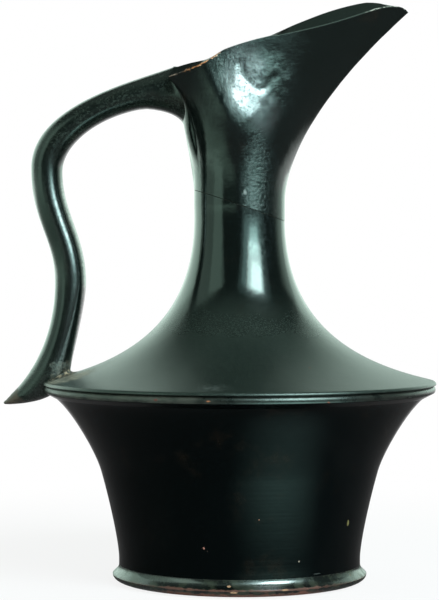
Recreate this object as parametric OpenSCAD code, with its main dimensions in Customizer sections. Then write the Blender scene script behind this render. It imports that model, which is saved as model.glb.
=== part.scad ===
// Oinochoe: a black gloss wine jug with a beaked mouth and one strap handle.
// Millimetres. The origin is the centre of the ring that it stands on, +Z is up,
// +X points to the beak and the handle is on the -X side.

/* [Foot] */
// Diameter of the sharp edge round the foot
foot_d = 105.6; // [102:0.2:112]
// Height of the foot ring, up to its seam with the body
foot_h = 7; // [6:0.5:9]
// Height of the sharp edge above the table
foot_edge_h = 3; // [2:0.1:4]
// Distance that the bevel under the sharp edge runs inward
foot_bevel = 5; // [2:0.1:7]
// Width of the ring that rests on the table
foot_rest_w = 6; // [4:0.5:10]

/* [Body] */
// Thickness of the thrown walls
wall = 4.4; // [3:0.2:6]
// Thickness of the floor
floor_t = 5; // [3:0.5:8]
// Radius of the round corner between the floor and the wall
floor_fillet = 9; // [4:1:16]
// Diameter of the waist just above the foot
waist_d = 100.3; // [96:0.2:101]
// Diameter of the wall where it begins to flare
belly_d = 115.6; // [110:0.2:124]
// Height at which the wall begins to flare
belly_h = 46.2; // [40:0.2:52]
// Height of the seam between the wall and the shoulder
seam_h = 76.3; // [70:0.2:82]

/* [Shoulder] */
// Largest diameter, over the bead at the edge of the shoulder
rim_d = 163.6; // [158:0.2:172]
// Radius of the bead
bead_r = 3.5; // [2.5:0.1:4.5]
// Distance that the bead stands out past the wall below it
bead_out = 4.9; // [2:0.1:7]
// Slope of the shoulder just inside the bead, in degrees
shoulder_slope = 13.6; // [8:0.2:20]
// Length over which the shoulder keeps that slope
shoulder_l = 32; // [26:0.5:38]
// Height of the seam between the shoulder and the neck
neck_seam_h = 112; // [104:0.5:120]

/* [Neck] */
// Diameter of the neck where it is narrowest
neck_d = 37.8; // [34:0.2:42]
// Height at which the neck ends its curve and the flare of the mouth begins
neck_h = 156; // [150:0.5:160]
// Length of the nearly upright stretch of the neck
neck_l = 49.7; // [44:0.5:56]
// Height of the mended break, at the axis
break_h = 155.5; // [148:0.5:158]
// Tilt of the mended break, in degrees, high on the handle side
break_tilt = 19; // [0:1:22]
// Thickness of the mending film in the break
mend_t = 0.4; // [0.3:0.1:1]

/* [Mouth] */
// Distance from the axis to the tip of the beak
beak_reach = 70.4; // [60:0.2:80]
// Height of the beak's tip
tip_h = 236.2; // [230:0.2:237]
// Height of the highest place on the rim
crest_h = 239.8; // [238:0.2:246]
// Distance from the axis to the highest place on the rim
crest_x = 57; // [50:0.5:59]
// Distance from the axis to the brow of the rim, on the handle side
brow_back = 7.5; // [4:0.5:12]
// Height of the brow of the rim
brow_h = 218.4; // [216:0.2:222]
// Distance from the axis to the place where the lip of the beak begins
lip_start_x = 14.6; // [8:0.2:20]
// Height of the place where the lip of the beak begins
lip_start_h = 225; // [223:0.2:227]
// Width of the mouth at its widest
mouth_w = 44; // [40:0.5:50]
// Distance from the axis to the rim's two back corners
ear_reach = 29.9; // [28:0.2:34]
// Width over the two back corners
ear_w = 32; // [26:0.5:36]
// Height of the two back corners
ear_h = 208.1; // [204:0.5:212]
// Height of the rim at the back, where the handle joins it
back_h = 213.2; // [212:0.2:218]
// Distance from the axis to the rim at the back
back_reach = 27.4; // [26:0.2:28]
// Height above the table at which the flat seat for the handle begins, at the back
seat_h = 188; // [184:0.5:191]
// Thickness of the lip
lip_t = 4; // [3:0.2:5]
// Height of the sloping face on the outside of the lip, at its tallest
lip_face_h = 4.4; // [2:0.2:6]

/* [Handle] */
// Thickness of the handle
handle_t = 12.9; // [10:0.2:16]
// Width of the handle
handle_w = 16.6; // [13:0.2:20]
// Distance from the axis to the outside of the crook, below the mouth
crook_reach = 86.8; // [80:0.2:94]
// Height of the outermost place on the crook
crook_h = 171; // [164:0.5:178]
// Distance from the axis to the outside of the grip, where it is drawn in
grip_reach = 76.9; // [72:0.2:82]
// Height of the place where the grip is drawn in
grip_h = 123.4; // [118:0.5:130]
// Distance that the tail stands out past the bead
tail_out = 16.8; // [10:0.2:22]
// Depth of the tail's tip below the middle of the bead
tail_drop = 5.6; // [4:0.2:8]
// Radius of the rolls of clay pressed into the handle's joints
clay_r = 2; // [1.5:0.1:3]

/* [Hidden] */
$fn = 96;
gloss = [0.09, 0.12, 0.12];
clay = [0.35, 0.24, 0.18];

// Steps along one curve, along each side of the mouth, round its back corner and along
// its back, up its wall and round the handle's section
curve_n = 10;
side_n = 11;
ear_n = 7;
back_n = 6;
rise_n = 13;
section_n = 16;

waist_r = waist_d / 2;
belly_r = belly_d / 2;
rim_r = rim_d / 2;
seam_r = rim_r - bead_out;
neck_r = neck_d / 2;
foot_r = foot_d / 2;
bead_z = seam_h + bead_r;
neck_in = neck_r - wall;

// One cubic curve from p[0] to p[3], and the point at t on it
function on_curve(p, t) =
    (1-t)^3 * p[0] + 3*(1-t)^2*t * p[1] + 3*(1-t)*t^2 * p[2] + t^3 * p[3];
function curve(p, n = curve_n) = [for (i = [0:n]) on_curve(p, i / n)];
function polar(r, a) = r * [cos(a), sin(a)];

// An outline of [radius, height] points that climbs, moved sideways by d towards the axis
function inset(c, d) = [for (i = [0:len(c)-1])
    let(v = c[min(i + 1, len(c) - 1)] - c[max(i - 1, 0)]) c[i] + d * [-v.y, v.x] / norm(v)];
function radius_at(c, z) = lookup(z, [for (p = c) [p.y, p.x]]);
function at(c, z) = [radius_at(c, z), z];
function between(c, low, high) = [for (p = c) if (p.y > low + 0.2 && p.y < high - 0.2) p];
function reversed(c) = [for (i = [len(c)-1:-1:0]) c[i]];

// Outside of the wall: upright at the waist, leaning at the belly, flared at the seam
belly_lean = 16.6;
seam_lean = 53;
waist_l = 9.5;
belly_in_l = 9.7;
belly_out_l = 7.9;
seam_l = 8.5;
belly = [belly_r, belly_h];
seam = [seam_r, seam_h];
wall_out = concat(
    [[waist_r, foot_h]],
    curve([[waist_r, foot_h + 2], [waist_r, foot_h + waist_l],
           belly - polar(belly_in_l, 90 - belly_lean), belly]),
    curve([belly, belly + polar(belly_out_l, 90 - belly_lean),
           seam - polar(seam_l, 90 - seam_lean), seam]));
wall_in = inset(wall_out, wall);

// Outside of the shoulder and neck: one sweep from the bead up to the narrowest place
neck_lean = 2.7;
bead_top = [rim_r - bead_r, bead_z] + polar(bead_r, 90 - shoulder_slope);
sweep_out = curve([bead_top,
                   bead_top + polar(shoulder_l, 180 - shoulder_slope),
                   [neck_r, neck_h] - polar(neck_l, 90 - neck_lean),
                   [neck_r, neck_h]], 3 * curve_n);
sweep_in = inset(sweep_out, wall);

// The break is a plane that leans along X; lift moves it straight up
function break_z(x, lift = 0) = break_h + lift - tan(break_tilt) * x;

module turned(outline) rotate_extrude() polygon(outline);

// Everything above the leaning plane
module above_break(lift) {
    size = 4 * neck_d;
    translate([0, 0, break_h + lift]) rotate([0, break_tilt, 0])
        translate([-size / 2, -size / 2, 0]) cube(size);
}

module foot_ring() color(gloss) {
    rest_out = foot_r - foot_bevel;
    edge = [foot_r, foot_edge_h];
    turned(concat(
        [[rest_out - foot_rest_w, 0]],
        curve([[rest_out, 0], [foot_r - 0.45 * foot_bevel, 0], [foot_r, 0.4 * foot_edge_h], edge], 5),
        curve([edge, edge + [-0.6, 0.35 * (foot_h - foot_edge_h)],
               [waist_r, edge.y + 0.6 * (foot_h - foot_edge_h)], [waist_r, foot_h]]),
        [[rest_out - foot_rest_w - 1.6, foot_h]]));
}

module lower_body() color(gloss) {
    top = foot_h + floor_t;
    corner_r = radius_at(wall_in, top + floor_fillet);
    turned(concat(
        [[0, foot_h]], between(wall_out, foot_h - 1, seam_h), [at(wall_out, seam_h)],
        [at(wall_in, seam_h)], reversed(between(wall_in, top + floor_fillet, seam_h)),
        [for (a = [0:-15:-90]) [corner_r - floor_fillet, top + floor_fillet] + polar(floor_fillet, a)],
        [[0, top]]));
}

module shoulder() color(gloss) {
    inner_edge = radius_at(wall_in, seam_h);
    turned(concat(
        [[inner_edge, seam_h]],
        [for (a = [-90:12:90 - shoulder_slope]) [rim_r - bead_r, bead_z] + polar(bead_r, a)],
        between(sweep_out, 0, neck_seam_h), [at(sweep_out, neck_seam_h)],
        [at(sweep_in, neck_seam_h)],
        [for (p = reversed(between(sweep_in, seam_h, neck_seam_h))) if (p.x < inner_edge - wall) p]));
}

// The sweep above the shoulder, carried on upright past the break
module neck_tube() {
    top = break_h + neck_r;
    turned(concat(
        [at(sweep_in, neck_seam_h), at(sweep_out, neck_seam_h)],
        between(sweep_out, neck_seam_h, neck_h), [[neck_r, neck_h], [neck_r, top]],
        [[neck_in, top], [neck_in, neck_h]],
        reversed(between(sweep_in, neck_seam_h, neck_h))));
}

module neck() color(gloss) difference() {
    neck_tube();
    above_break(0);
}

module neck_mend() color(clay) difference() {
    intersection() {
        neck_tube();
        above_break(0);
    }
    above_break(mend_t);
}

// Rim of the mouth, seen from above, from the tip (s = 0) by the side (1) and the
// back corner (2) to the middle of the back (3), and drawn in by d
side_x = -14;
brow_x = -brow_back;
tip_l = 11;
tip_a = 115;
side_fore_l = 20;
side_back_l = 7;
ear_fore_l = 8;
ear_fore_a = 28.8;
ear_back_l = 4.8;
ear_back_a = -69.3;
back_l = 5;
function rim_plan(s, d) =
    let(tip = [beak_reach - 2 * d, 0],
        side = [side_x, mouth_w / 2 - d],
        ear = [-ear_reach + d, ear_w / 2 - d],
        back = [-back_reach + 2 * d, 0])
    s <= 1 ? on_curve([tip, tip + polar(tip_l - d, tip_a), side + [side_fore_l - d, 0], side], s)
    : s <= 2 ? on_curve([side, side - [side_back_l, 0], ear + polar(ear_fore_l, ear_fore_a), ear], s - 1)
    : on_curve([ear, ear + polar(ear_back_l, ear_back_a), back + [0, back_l], back], s - 2);

// Height of the outer edge of the rim: up from the back corner to a brow over the neck,
// then in one sweep to the crest, and down to the tip
ear = [-ear_reach, ear_h];
brow = [brow_x, brow_h];
lip_start = [lip_start_x, lip_start_h];
crest = [crest_x, crest_h];
beak_tip = [beak_reach, tip_h];
rim_side = concat(
    curve([ear, ear + polar(8.2, 12.7), brow - polar(9.6, 38.7), brow]),
    curve([brow + [0.1, 0], brow + polar(7, 24), lip_start - polar(7, 12), lip_start]),
    curve([lip_start + [0.1, 0], lip_start + polar(14, 25), crest - polar(15, 10), crest], 2 * curve_n),
    curve([crest + [0.1, 0], crest + polar(7.5, 2), beak_tip + polar(4.5, 135), beak_tip]));
function rim_z(s) =
    let(p = rim_plan(s, 0))
    s <= 2 ? lookup(p.x, rim_side)
    : ear_h + (back_h - ear_h) * (1 - cos(180 * min(1, (s - 2) / 0.4))) / 2;

// Height of the inner edge of the rim, which stands higher from the brow to the back
lip_side = curve([[-ear_reach, back_h - 1], [-ear_reach + 12, back_h + 0.6], brow - polar(9, 36), brow]);
function lip_z(s) =
    let(p = rim_plan(s, 0), t = min(1, max(0, s - 2) / 0.4))
    max(rim_z(s), p.x > brow_x ? 0 : s <= 2 ? lookup(p.x, lip_side) : back_h - 1 + t);

// Height of the sloping face outside the lip, which is there only beside the beak
face_x = 13;
function face_h(s) =
    let(t = (rim_plan(s, 0).x - face_x) / (beak_reach - 1 - face_x))
    s > 1 || t < 0 || t > 1 ? 0 : lip_face_h * sin(180 * t);

// Round the neck the same places lie at these angles, and there the wall keeps
// upright for longer as the power grows: the back corners are thrown out late
function neck_angle(s) = s <= 1 ? 90 * s : s <= 2 ? 90 + 62 * (s - 1) : 152 + 28 * (s - 2);
flare_power = [[0, 1.69], [1, 2.2], [1.6, 2.6], [2, 5], [2.5, 2], [3, 1.2]];

// The handle's seat is a flat at the back that leans with the wall
seat_lean = 0.175;
seat_s = 2.25;
function seat_x(z) = -back_reach + seat_lean * (back_h - z);

// The wall's inside ends this far below the top of the lip
lip_round = 1.5;

// A place on the mouth's wall: s round it, h from 0 at the break to 1 at the rim
function wall_point(s, h, r, d, lift) =
    let(a = neck_angle(s),
        base = break_z(r * cos(a), lift),
        foot = max(neck_h + 2, base),
        top = d == 0 ? rim_z(s) - face_h(s) : lip_z(s) - lip_round,
        z = base + (top - base) * h,
        f = z > foot ? pow((z - foot) / (top - foot), lookup(s, flare_power)) : 0,
        p = r * [cos(a), sin(a)] * (1 - f) + rim_plan(s, d) * f,
        t = min(1, max(0, z - foot) / (seat_h - foot)),
        b = s < seat_s ? 0 : t * t * (3 - 2 * t))
    [p.x * (1 - b) + (seat_x(z) + 2 * d) * b, p.y, h == 0 ? break_z(p.x, lift) : z];

half = concat([for (i = [0:side_n-1]) i / side_n], [for (i = [0:ear_n-1]) 1 + i / ear_n],
              [for (i = [0:back_n]) 2 + i / back_n]);

// A closed ring of points: the half on +Y from the tip to the back, then its mirror image
function mirrored(p) =
    concat(p, [for (i = [len(p)-2:-1:1]) [p[i].x, -p[i].y, p[i].z]]);
function wall_ring(h, r, d, lift) = mirrored([for (s = half) wall_point(s, h, r, d, lift)]);
function lip_ring(d, drop) = mirrored([for (s = half)
    let(p = rim_plan(s, d)) [p.x, p.y, lip_z(s) - drop]]);

outer_rings = [for (i = [0:rise_n]) wall_ring(i / rise_n, neck_r, 0, mend_t)];
inner_rings = [for (i = [rise_n:-1:0]) wall_ring(i / rise_n, neck_in, lip_t, mend_t)];
lip_rings = [lip_ring(0.7 * lip_t, 0), lip_ring(0.9 * lip_t, 0.4)];

// Triangles between ring i and ring j of n points each
function band(i, j, n) = [for (k = [0:n-1]) let(a = k, b = (k + 1) % n)
    each [[i*n + a, i*n + b, j*n + b], [i*n + a, j*n + b, j*n + a]]];

module spout() color(gloss) {
    rings = concat(outer_rings, lip_rings, inner_rings);
    n = len(rings[0]);
    count = len(rings);
    polyhedron([for (r = rings) each r],
               [for (i = [0:count-1]) each band((i + 1) % count, i, n)]);
}

// Everything on the mouth's side of the handle's seat
module behind_seat() translate([seat_x(seat_h), 0, seat_h]) rotate([0, -atan(seat_lean), 0])
    translate([0, -handle_w, -handle_w]) cube([handle_w, 2 * handle_w, 3 * handle_w]);

// The body filled in solid
module body_block() turned(concat(
    [[0, foot_h]], between(wall_out, foot_h - 1, seam_h), [seam],
    [for (a = [-90:12:90 - shoulder_slope]) [rim_r - bead_r, bead_z] + polar(bead_r, a)],
    between(sweep_out, 0, neck_h), [[neck_r, neck_h], [0, neck_h]]));

// Handle: an outer and an inner curve in the XZ plane, from the mouth by the crook and
// the grip to the root and the tail, and a rounded section between each pair of points
crook = [-crook_reach, crook_h];
grip = [-grip_reach, grip_h];
tail = [-rim_r - tail_out, bead_z - tail_drop];
joint_top = back_h - 0.4;
joint_foot = joint_top - 17;
top_out = [seat_x(joint_top), joint_top];
top_in = [seat_x(joint_foot), joint_foot];
crook_in = crook + [handle_t, -1.5];
grip_in = grip + [handle_t, 0];
root_in = [-rim_r + 12, bead_z + 11.5];
tail_in = tail + polar(2, -53);

// Lengths over which these curves keep their direction, outside and then inside
top_l = 23.6;
crook_up_l = 23.9;
crook_down_l = 23;
grip_up_l = 19.1;
grip_down_l = 24.2;
tail_l = 12.6;
top_in_l = 24;
crook_in_up_l = 14.1;
crook_in_down_l = 16.9;
grip_in_up_l = 19.9;
grip_in_down_l = 8.2;
root_up_l = 5.7;
root_down_l = 7.1;
tail_curve = [grip, grip - [0, grip_down_l], tail + polar(tail_l, 36.6), tail];
root_curve = [root_in, root_in - polar(root_down_l, 80), [root_in.x - 2, tail_in.y + 1], tail_in];

outside = concat(
    [for (i = [0:11])
        on_curve([top_out, top_out - polar(top_l, 21.3), crook + [0, crook_up_l], crook], i / 12)],
    [for (i = [0:7])
        on_curve([crook, crook - [0, crook_down_l], grip + [0, grip_up_l], grip], i / 8)],
    [for (i = [0:14]) on_curve(tail_curve, i / 14)]);
inside = concat(
    [for (i = [0:11])
        on_curve([top_in, top_in + polar(top_in_l, 176), crook_in + [0, crook_in_up_l], crook_in], i / 12)],
    [for (i = [0:7])
        on_curve([crook_in, crook_in - [0, crook_in_down_l], grip_in + [0, grip_in_up_l], grip_in], i / 8)],
    [for (i = [0:6])
        on_curve([grip_in, grip_in - [0, grip_in_down_l], root_in + polar(root_up_l, 78), root_in], i / 7)],
    [for (i = [0:7]) on_curve(root_curve, i / 7)]);

// Half of the handle's width along it: wider at both joints and drawn in at the tail
handle_half = [[0, 1.14], [6, 1.04], [12, 1], [20, 0.97], [26, 1.04], [29, 1.1], [32, 0.9], [34, 0.5]];

function handle_ring(i) =
    let(o = outside[i], v = inside[i] - o, w = handle_w / 2 * lookup(i, handle_half))
    [for (k = [0:section_n-1])
        let(a = 360 * k / section_n, c = cos(a), q = c > 0 ? 0.9 : 0.66,
            u = 0.5 - 0.5 * sign(c) * pow(abs(c), q),
            y = w * sign(sin(a)) * pow(abs(sin(a)), 0.8))
        [o.x + v.x * u, y, o.y + v.y * u]];

module handle_bar() {
    n = section_n;
    count = len(outside);
    polyhedron([for (i = [0:count-1]) each handle_ring(i)], concat(
        [[for (k = [0:n-1]) k]],
        [for (i = [0:count-2]) each band(i + 1, i, n)],
        [[for (k = [n-1:-1:0]) (count - 1) * n + k]]));
}

module handle() color(gloss) difference() {
    handle_bar();
    body_block();
}

// A roll of clay across the handle's width, centred at [x, z]
module clay_roll(place, r, width) hull() for (side = [-1, 1])
    translate([place.x, side * (width / 2 - r), place.y]) sphere(r, $fn = 24);

module handle_root_clay() color(clay) difference() {
    clay_roll(root_in + [1.4, -3.2], clay_r, handle_w);
    handle_bar();
    body_block();
}

module handle_top_clay() color(clay) difference() {
    clay_roll(top_in - [0.8, 0.6], clay_r, handle_w);
    handle_bar();
    behind_seat();
}

foot_ring();
lower_body();
shoulder();
neck();
neck_mend();
spout();
handle();
handle_root_clay();
handle_top_clay();
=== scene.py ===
# %% [markdown]
# # A black gloss wine jug with a beaked mouth
# This lesson dresses a packed CAD model of a thrown ceramic jug. The CAD parts fix where each
# piece is and how big. Here each part gets a finer mesh of the same shape and a finish that is
# built from nodes: fired gloss, satin gloss, bare clay and the film in an old mended break.

# %% Load the CAD model
import math

import bmesh
import bpy
import numpy as np
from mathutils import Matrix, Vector, noise
from mathutils.bvhtree import BVHTree


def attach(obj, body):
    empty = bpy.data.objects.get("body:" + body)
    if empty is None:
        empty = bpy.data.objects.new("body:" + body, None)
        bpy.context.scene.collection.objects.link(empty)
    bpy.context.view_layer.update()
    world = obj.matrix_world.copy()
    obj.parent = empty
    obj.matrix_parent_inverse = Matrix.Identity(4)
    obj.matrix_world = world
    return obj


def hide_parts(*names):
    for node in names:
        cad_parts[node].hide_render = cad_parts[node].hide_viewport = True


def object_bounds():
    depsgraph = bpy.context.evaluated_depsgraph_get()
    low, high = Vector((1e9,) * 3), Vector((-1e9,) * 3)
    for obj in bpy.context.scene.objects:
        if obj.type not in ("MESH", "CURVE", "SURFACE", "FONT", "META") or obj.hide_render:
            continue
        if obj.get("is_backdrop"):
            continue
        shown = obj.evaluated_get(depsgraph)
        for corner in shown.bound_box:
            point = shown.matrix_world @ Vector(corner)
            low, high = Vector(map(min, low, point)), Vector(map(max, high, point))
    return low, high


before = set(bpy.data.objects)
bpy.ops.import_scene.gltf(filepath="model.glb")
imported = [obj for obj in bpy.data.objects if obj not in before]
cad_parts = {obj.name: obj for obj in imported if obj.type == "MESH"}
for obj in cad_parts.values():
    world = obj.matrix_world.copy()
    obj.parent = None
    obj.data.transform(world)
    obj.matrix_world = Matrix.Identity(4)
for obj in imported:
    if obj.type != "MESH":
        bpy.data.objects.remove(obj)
cad_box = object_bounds()
print("CAD parts:", sorted(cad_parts))

# %% [markdown]
# ## The camera
# A long lens from about 0.9 m keeps the jug's sides nearly parallel. The camera stands level at
# the height of the neck. A level camera keeps upright edges upright, so the frame is lowered with
# a small lens shift and not with a tilt.

# %% Camera
MM = 0.001
IMAGE_H = 600
SENSOR = 36.0
LENS = 130.5
HORIZON_ABOVE_MIDDLE = 44

lens = bpy.data.cameras.new("long_lens")
lens.lens, lens.sensor_width = LENS, SENSOR
lens.shift_y = -HORIZON_ABOVE_MIDDLE / IMAGE_H
camera = bpy.data.objects.new("camera", lens)
camera.location = (-8.34 * MM, -907 * MM, 134.7 * MM)
camera.rotation_euler = (math.radians(90), 0, 0)
bpy.context.scene.collection.objects.link(camera)
bpy.context.scene.camera = camera
bpy.context.scene.view_settings.view_transform = "Standard"
print("Lens of", LENS, "mm at", tuple(round(c, 3) for c in camera.location))

# %% [markdown]
# ## Node graphs as sums
# A finish is a graph of many small nodes. Written link by link it hides its own idea, so one small
# class stands for a socket: `1 - mask` or `grain * 0.2` adds the Math node that it needs, and a
# vector or a colour gets Vector Math. Every other node comes from one method, `node`, which sets
# the node's own settings first and then its inputs.

# %% The Wire class
class Wire:
    """One output socket. Arithmetic on wires adds nodes to the tree."""

    def __init__(self, tree, socket=None):
        self.tree, self.socket = tree, socket

    def node(self, kind, settings=None, inputs=None, out=0):
        """Adds a node: its settings, then the values or wires of its inputs. Gives one output."""
        made = self.tree.nodes.new(kind)
        for name, value in (settings or {}).items():
            if name == "stops":
                self._stops(made.color_ramp, value)
            else:
                setattr(made, name, value)
        for name, value in (inputs or {}).items():
            if isinstance(value, Wire):
                self.tree.links.new(value.socket, made.inputs[name])
            else:
                made.inputs[name].default_value = value
        return Wire(self.tree, made.outputs[out] if made.outputs else None)

    @staticmethod
    def _stops(ramp, stops):
        while len(ramp.elements) < len(stops):
            ramp.elements.new(0.5)
        for element, (place, colour) in zip(ramp.elements, stops):
            element.position = place
            element.color = (*colour, 1) if len(colour) == 3 else colour

    def maths(self, operation, *others):
        """A Math node for numbers, and Vector Math where a vector or a colour takes part."""
        if operation == "LENGTH":
            return self.node("ShaderNodeVectorMath", {"operation": operation}, {0: self}, 1)
        flat = self.socket.type == "VALUE" and all(
            not isinstance(o, Wire) or o.socket.type == "VALUE" for o in others)
        kind = "ShaderNodeMath" if flat else "ShaderNodeVectorMath"
        if not flat:
            others = [o if isinstance(o, (Wire, tuple)) else (o, o, o) for o in others]
        return self.node(kind, {"operation": operation}, dict(enumerate((self, *others))))

    def __add__(self, other): return self.maths("ADD", other)
    def __radd__(self, other): return self.maths("ADD", other)
    def __sub__(self, other): return self.maths("SUBTRACT", other)
    def __mul__(self, other): return self.maths("MULTIPLY", other)
    def __rmul__(self, other): return self.maths("MULTIPLY", other)
    def __truediv__(self, other): return self.maths("DIVIDE", other)
    def __rsub__(self, other): return self * -1.0 + other

    def other(self, index):
        """Another output of the same node."""
        return Wire(self.tree, self.socket.node.outputs[index])

    def clip(self):
        """Keeps a number between 0 and 1."""
        return self.node("ShaderNodeClamp", {}, {"Value": self})

    def step(self, low, high):
        """0 below low, 1 above high, and a soft rise in between."""
        return self.node("ShaderNodeMapRange", {"interpolation_type": "SMOOTHSTEP"},
                         {"Value": self, "From Min": low, "From Max": high})

    def part(self, index):
        """The X, Y or Z part of a vector."""
        return self.node("ShaderNodeSeparateXYZ", {}, {0: self}, index)

    def mix(self, colour_a, colour_b):
        """A colour: a where this number is 0, and b where it is 1."""
        named = [c if isinstance(c, Wire) else (*c, 1) for c in (colour_a, colour_b)]
        return self.node("ShaderNodeMix", {"data_type": "RGBA"},
                         {0: self, 6: named[0], 7: named[1]}, out=2)

    def noise(self, size, detail=2.0, rough=0.5, warp=0.0):
        """Cloudy noise from 0 to 1 over a place in mm, with lumps of about that size."""
        return self.node("ShaderNodeTexNoise", {}, {
            "Vector": self, "Scale": 1 / size, "Detail": detail, "Roughness": rough,
            "Distortion": warp})


print("Wire knows", [name for name in vars(Wire) if not name.startswith("_")])

# %% [markdown]
# ## The studio
# Black gloss shows hardly any colour of its own: it shows what stands around it. So the lamps are
# soft boxes, placed where the real jug mirrors them: a bright one on the right in front, a wide
# paler one on the left, and one behind on each side. The bright one is several boxes inside each
# other, so that its edge fades as a real diffuser's does. Between the boxes the room is dark, which
# draws the dark bands. Point lamps would be simpler, but they leave no shape in a gloss.

# %% Lamps
AIM = Vector((0, 0, 0.13))


def soft_box(name, azimuth, elevation, wide, high, radiance, colour=(1, 1, 1), distance=1.3):
    """A lamp at that many degrees right of the camera and up, and so many degrees wide and high."""
    a, e = math.radians(azimuth), math.radians(elevation)
    out = Vector((math.sin(a) * math.cos(e), -math.cos(a) * math.cos(e), math.sin(e)))
    lamp = bpy.data.lights.new(name, "AREA")
    lamp.shape = "RECTANGLE"
    lamp.size = 2 * distance * math.tan(math.radians(wide / 2))
    lamp.size_y = 2 * distance * math.tan(math.radians(high / 2))
    lamp.energy = radiance * math.pi * lamp.size * lamp.size_y
    lamp.color = colour
    made = bpy.data.objects.new(name, lamp)
    made.location = AIM + out * distance
    made.rotation_mode = "QUATERNION"
    made.rotation_quaternion = out.to_track_quat("Z", "Y")
    made.visible_camera = False
    bpy.context.scene.collection.objects.link(made)
    return made


GREENISH = (0.80, 1.0, 0.90)
BLUISH = (0.72, 1.0, 1.04)
PALE_BLUE = (0.9, 1.0, 1.06)
soft_box("left_panel", -73, 20, 62, 50, 0.5, GREENISH)
soft_box("left_panel_core", -57, 20, 24, 44, 0.4, GREENISH)
soft_box("left_back_panel", -141, 17, 56, 46, 1.0, GREENISH)
soft_box("right_back_panel", 150, 20, 36, 46, 0.9, GREENISH)
soft_box("key_glow", 34, 24, 60, 56, 0.35, BLUISH)
soft_box("key_middle", 32, 24, 44, 42, 1.1, BLUISH)
soft_box("key_core", 36, 29, 30, 32, 6.5, PALE_BLUE)
soft_box("key_low", 35, 13, 20, 14, 5.5, BLUISH)
soft_box("key_top", 39, 34, 20, 20, 8.0, PALE_BLUE)

# %% [markdown]
# The room itself is the world. To the camera it is plain white. A mirrored ray meets a pale
# backdrop low behind the jug, a dim ceiling, and a nearly dark room elsewhere. Light Path's first
# output tells the two kinds of ray apart, so no light is added to get the white background.

# %% Room
BACKDROP_LIGHT, CEILING_LIGHT, ROOM_LIGHT = 0.85, 0.18, 0.06

world = bpy.data.worlds.new("room")
bpy.context.scene.world = world
world.use_nodes = True
world.node_tree.nodes.clear()
room = Wire(world.node_tree)
direction = room.node("ShaderNodeTexCoord")
behind = direction.part(1).step(0.1, 0.6)
low = 1 - direction.part(2).step(0.38, 0.53)
ceiling = direction.part(2).step(0.7, 0.95)
dim = behind * low * BACKDROP_LIGHT + ceiling * CEILING_LIGHT + ROOM_LIGHT
seen = room.node("ShaderNodeLightPath")
dim_light = room.node("ShaderNodeBackground", {}, {"Color": dim.mix((0, 0, 0), (0.8, 1, 0.9))})
white_light = room.node("ShaderNodeBackground", {}, {"Color": (1, 1, 1, 1)})
both = room.node("ShaderNodeMixShader", {}, {0: seen, 1: dim_light, 2: white_light})
room.node("ShaderNodeOutputWorld", {}, {"Surface": both})
print("The room has", len(world.node_tree.nodes), "nodes")

# %% [markdown]
# The floor is pale and matt. To the camera most of its brightness is its own, so that it joins the
# white room without a line, and a soft trace of the jug's shadow stays. To a mirrored ray it is
# dark under the jug, white far behind it and grey-green on the left, with one bright patch in
# front on the right: the patch is what shines in the hollow of the foot.

# %% Floor
FLOOR_HALF = 4.0
FLOOR_GLOW = 0.12
PATCH_PLACE, PATCH_R, PATCH_LIGHT = (0.066, -0.135, 0.0), 0.09, (2.6, 3.8, 3.8)
LEFT_LIGHT = (0.4, 0.55, 0.47)
DARK = (0, 0, 0)


def new_material(name):
    """An empty node material, and a Wire to build it with."""
    material = bpy.data.materials.new(name)
    material.use_nodes = True
    material.node_tree.nodes.clear()
    return material, Wire(material.node_tree)


square = ((-1, -1), (1, -1), (1, 1), (-1, 1))
corners = [(x * FLOOR_HALF, y * FLOOR_HALF, -0.0002) for x, y in square]
floor_mesh = bpy.data.meshes.new("floor")
floor_mesh.from_pydata(corners, [], [(0, 1, 2, 3)])
floor = bpy.data.objects.new("floor", floor_mesh)
bpy.context.scene.collection.objects.link(floor)
floor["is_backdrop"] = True
floor_material, w = new_material("pale_floor")
matt = w.node("ShaderNodeBsdfDiffuse", {}, {"Color": (0.88, 0.88, 0.88, 1)})
spot = w.node("ShaderNodeTexCoord", out=3)
far = spot.maths("LENGTH").step(0.12, 0.4)
light = w.node("ShaderNodeLightPath")
to_camera, to_mirror = light, light.other(3) + light.other(6)
patch = 1 - (spot - PATCH_PLACE).maths("LENGTH").step(0.0, PATCH_R)
behind_jug = spot.part(1).step(0.2, 0.7) * (1 - FLOOR_GLOW) + FLOOR_GLOW
beside_jug = 1 - spot.part(0).step(-0.7, -0.25)
mirrored = behind_jug.mix(DARK, (1, 1, 1)) + patch.mix(DARK, PATCH_LIGHT)
mirrored = mirrored + beside_jug.mix(DARK, LEFT_LIGHT)
shine = w.node("ShaderNodeEmission", {}, {"Color": to_camera.mix(mirrored, (1, 1, 1))})
own_light = to_camera * (0.86 + far * 0.14) + to_mirror
surface = w.node("ShaderNodeMixShader", {}, {0: own_light.clip(), 1: matt, 2: shine})
w.node("ShaderNodeOutputMaterial", {}, {"Surface": surface})
floor_mesh.materials.append(floor_material)
print("The floor is", 2 * FLOOR_HALF, "m wide")

# %% [markdown]
# ## Curves and rings
# A potter's outline is a few long curves. Each is a cubic curve between two places, with a
# direction and a length at both ends. A spline through many places would be another way, but it
# wobbles between them. All sizes are in mm and repeat the CAD source.

# %% Curve helpers
def polar(length, degrees):
    """A step of that length in that direction."""
    return length * np.array([math.cos(math.radians(degrees)), math.sin(math.radians(degrees))])


def curve_at(points, t):
    """The place at t, from 0 to 1, on the cubic curve with those four points."""
    a, b, c, d = (np.array(p, float) for p in points)
    return (1 - t) ** 3 * a + 3 * (1 - t) ** 2 * t * b + 3 * (1 - t) * t ** 2 * c + t ** 3 * d


def curve(points, steps):
    """Places along that curve, from one end to the other."""
    return curve_at(points, np.linspace(0, 1, steps + 1)[:, None])


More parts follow.
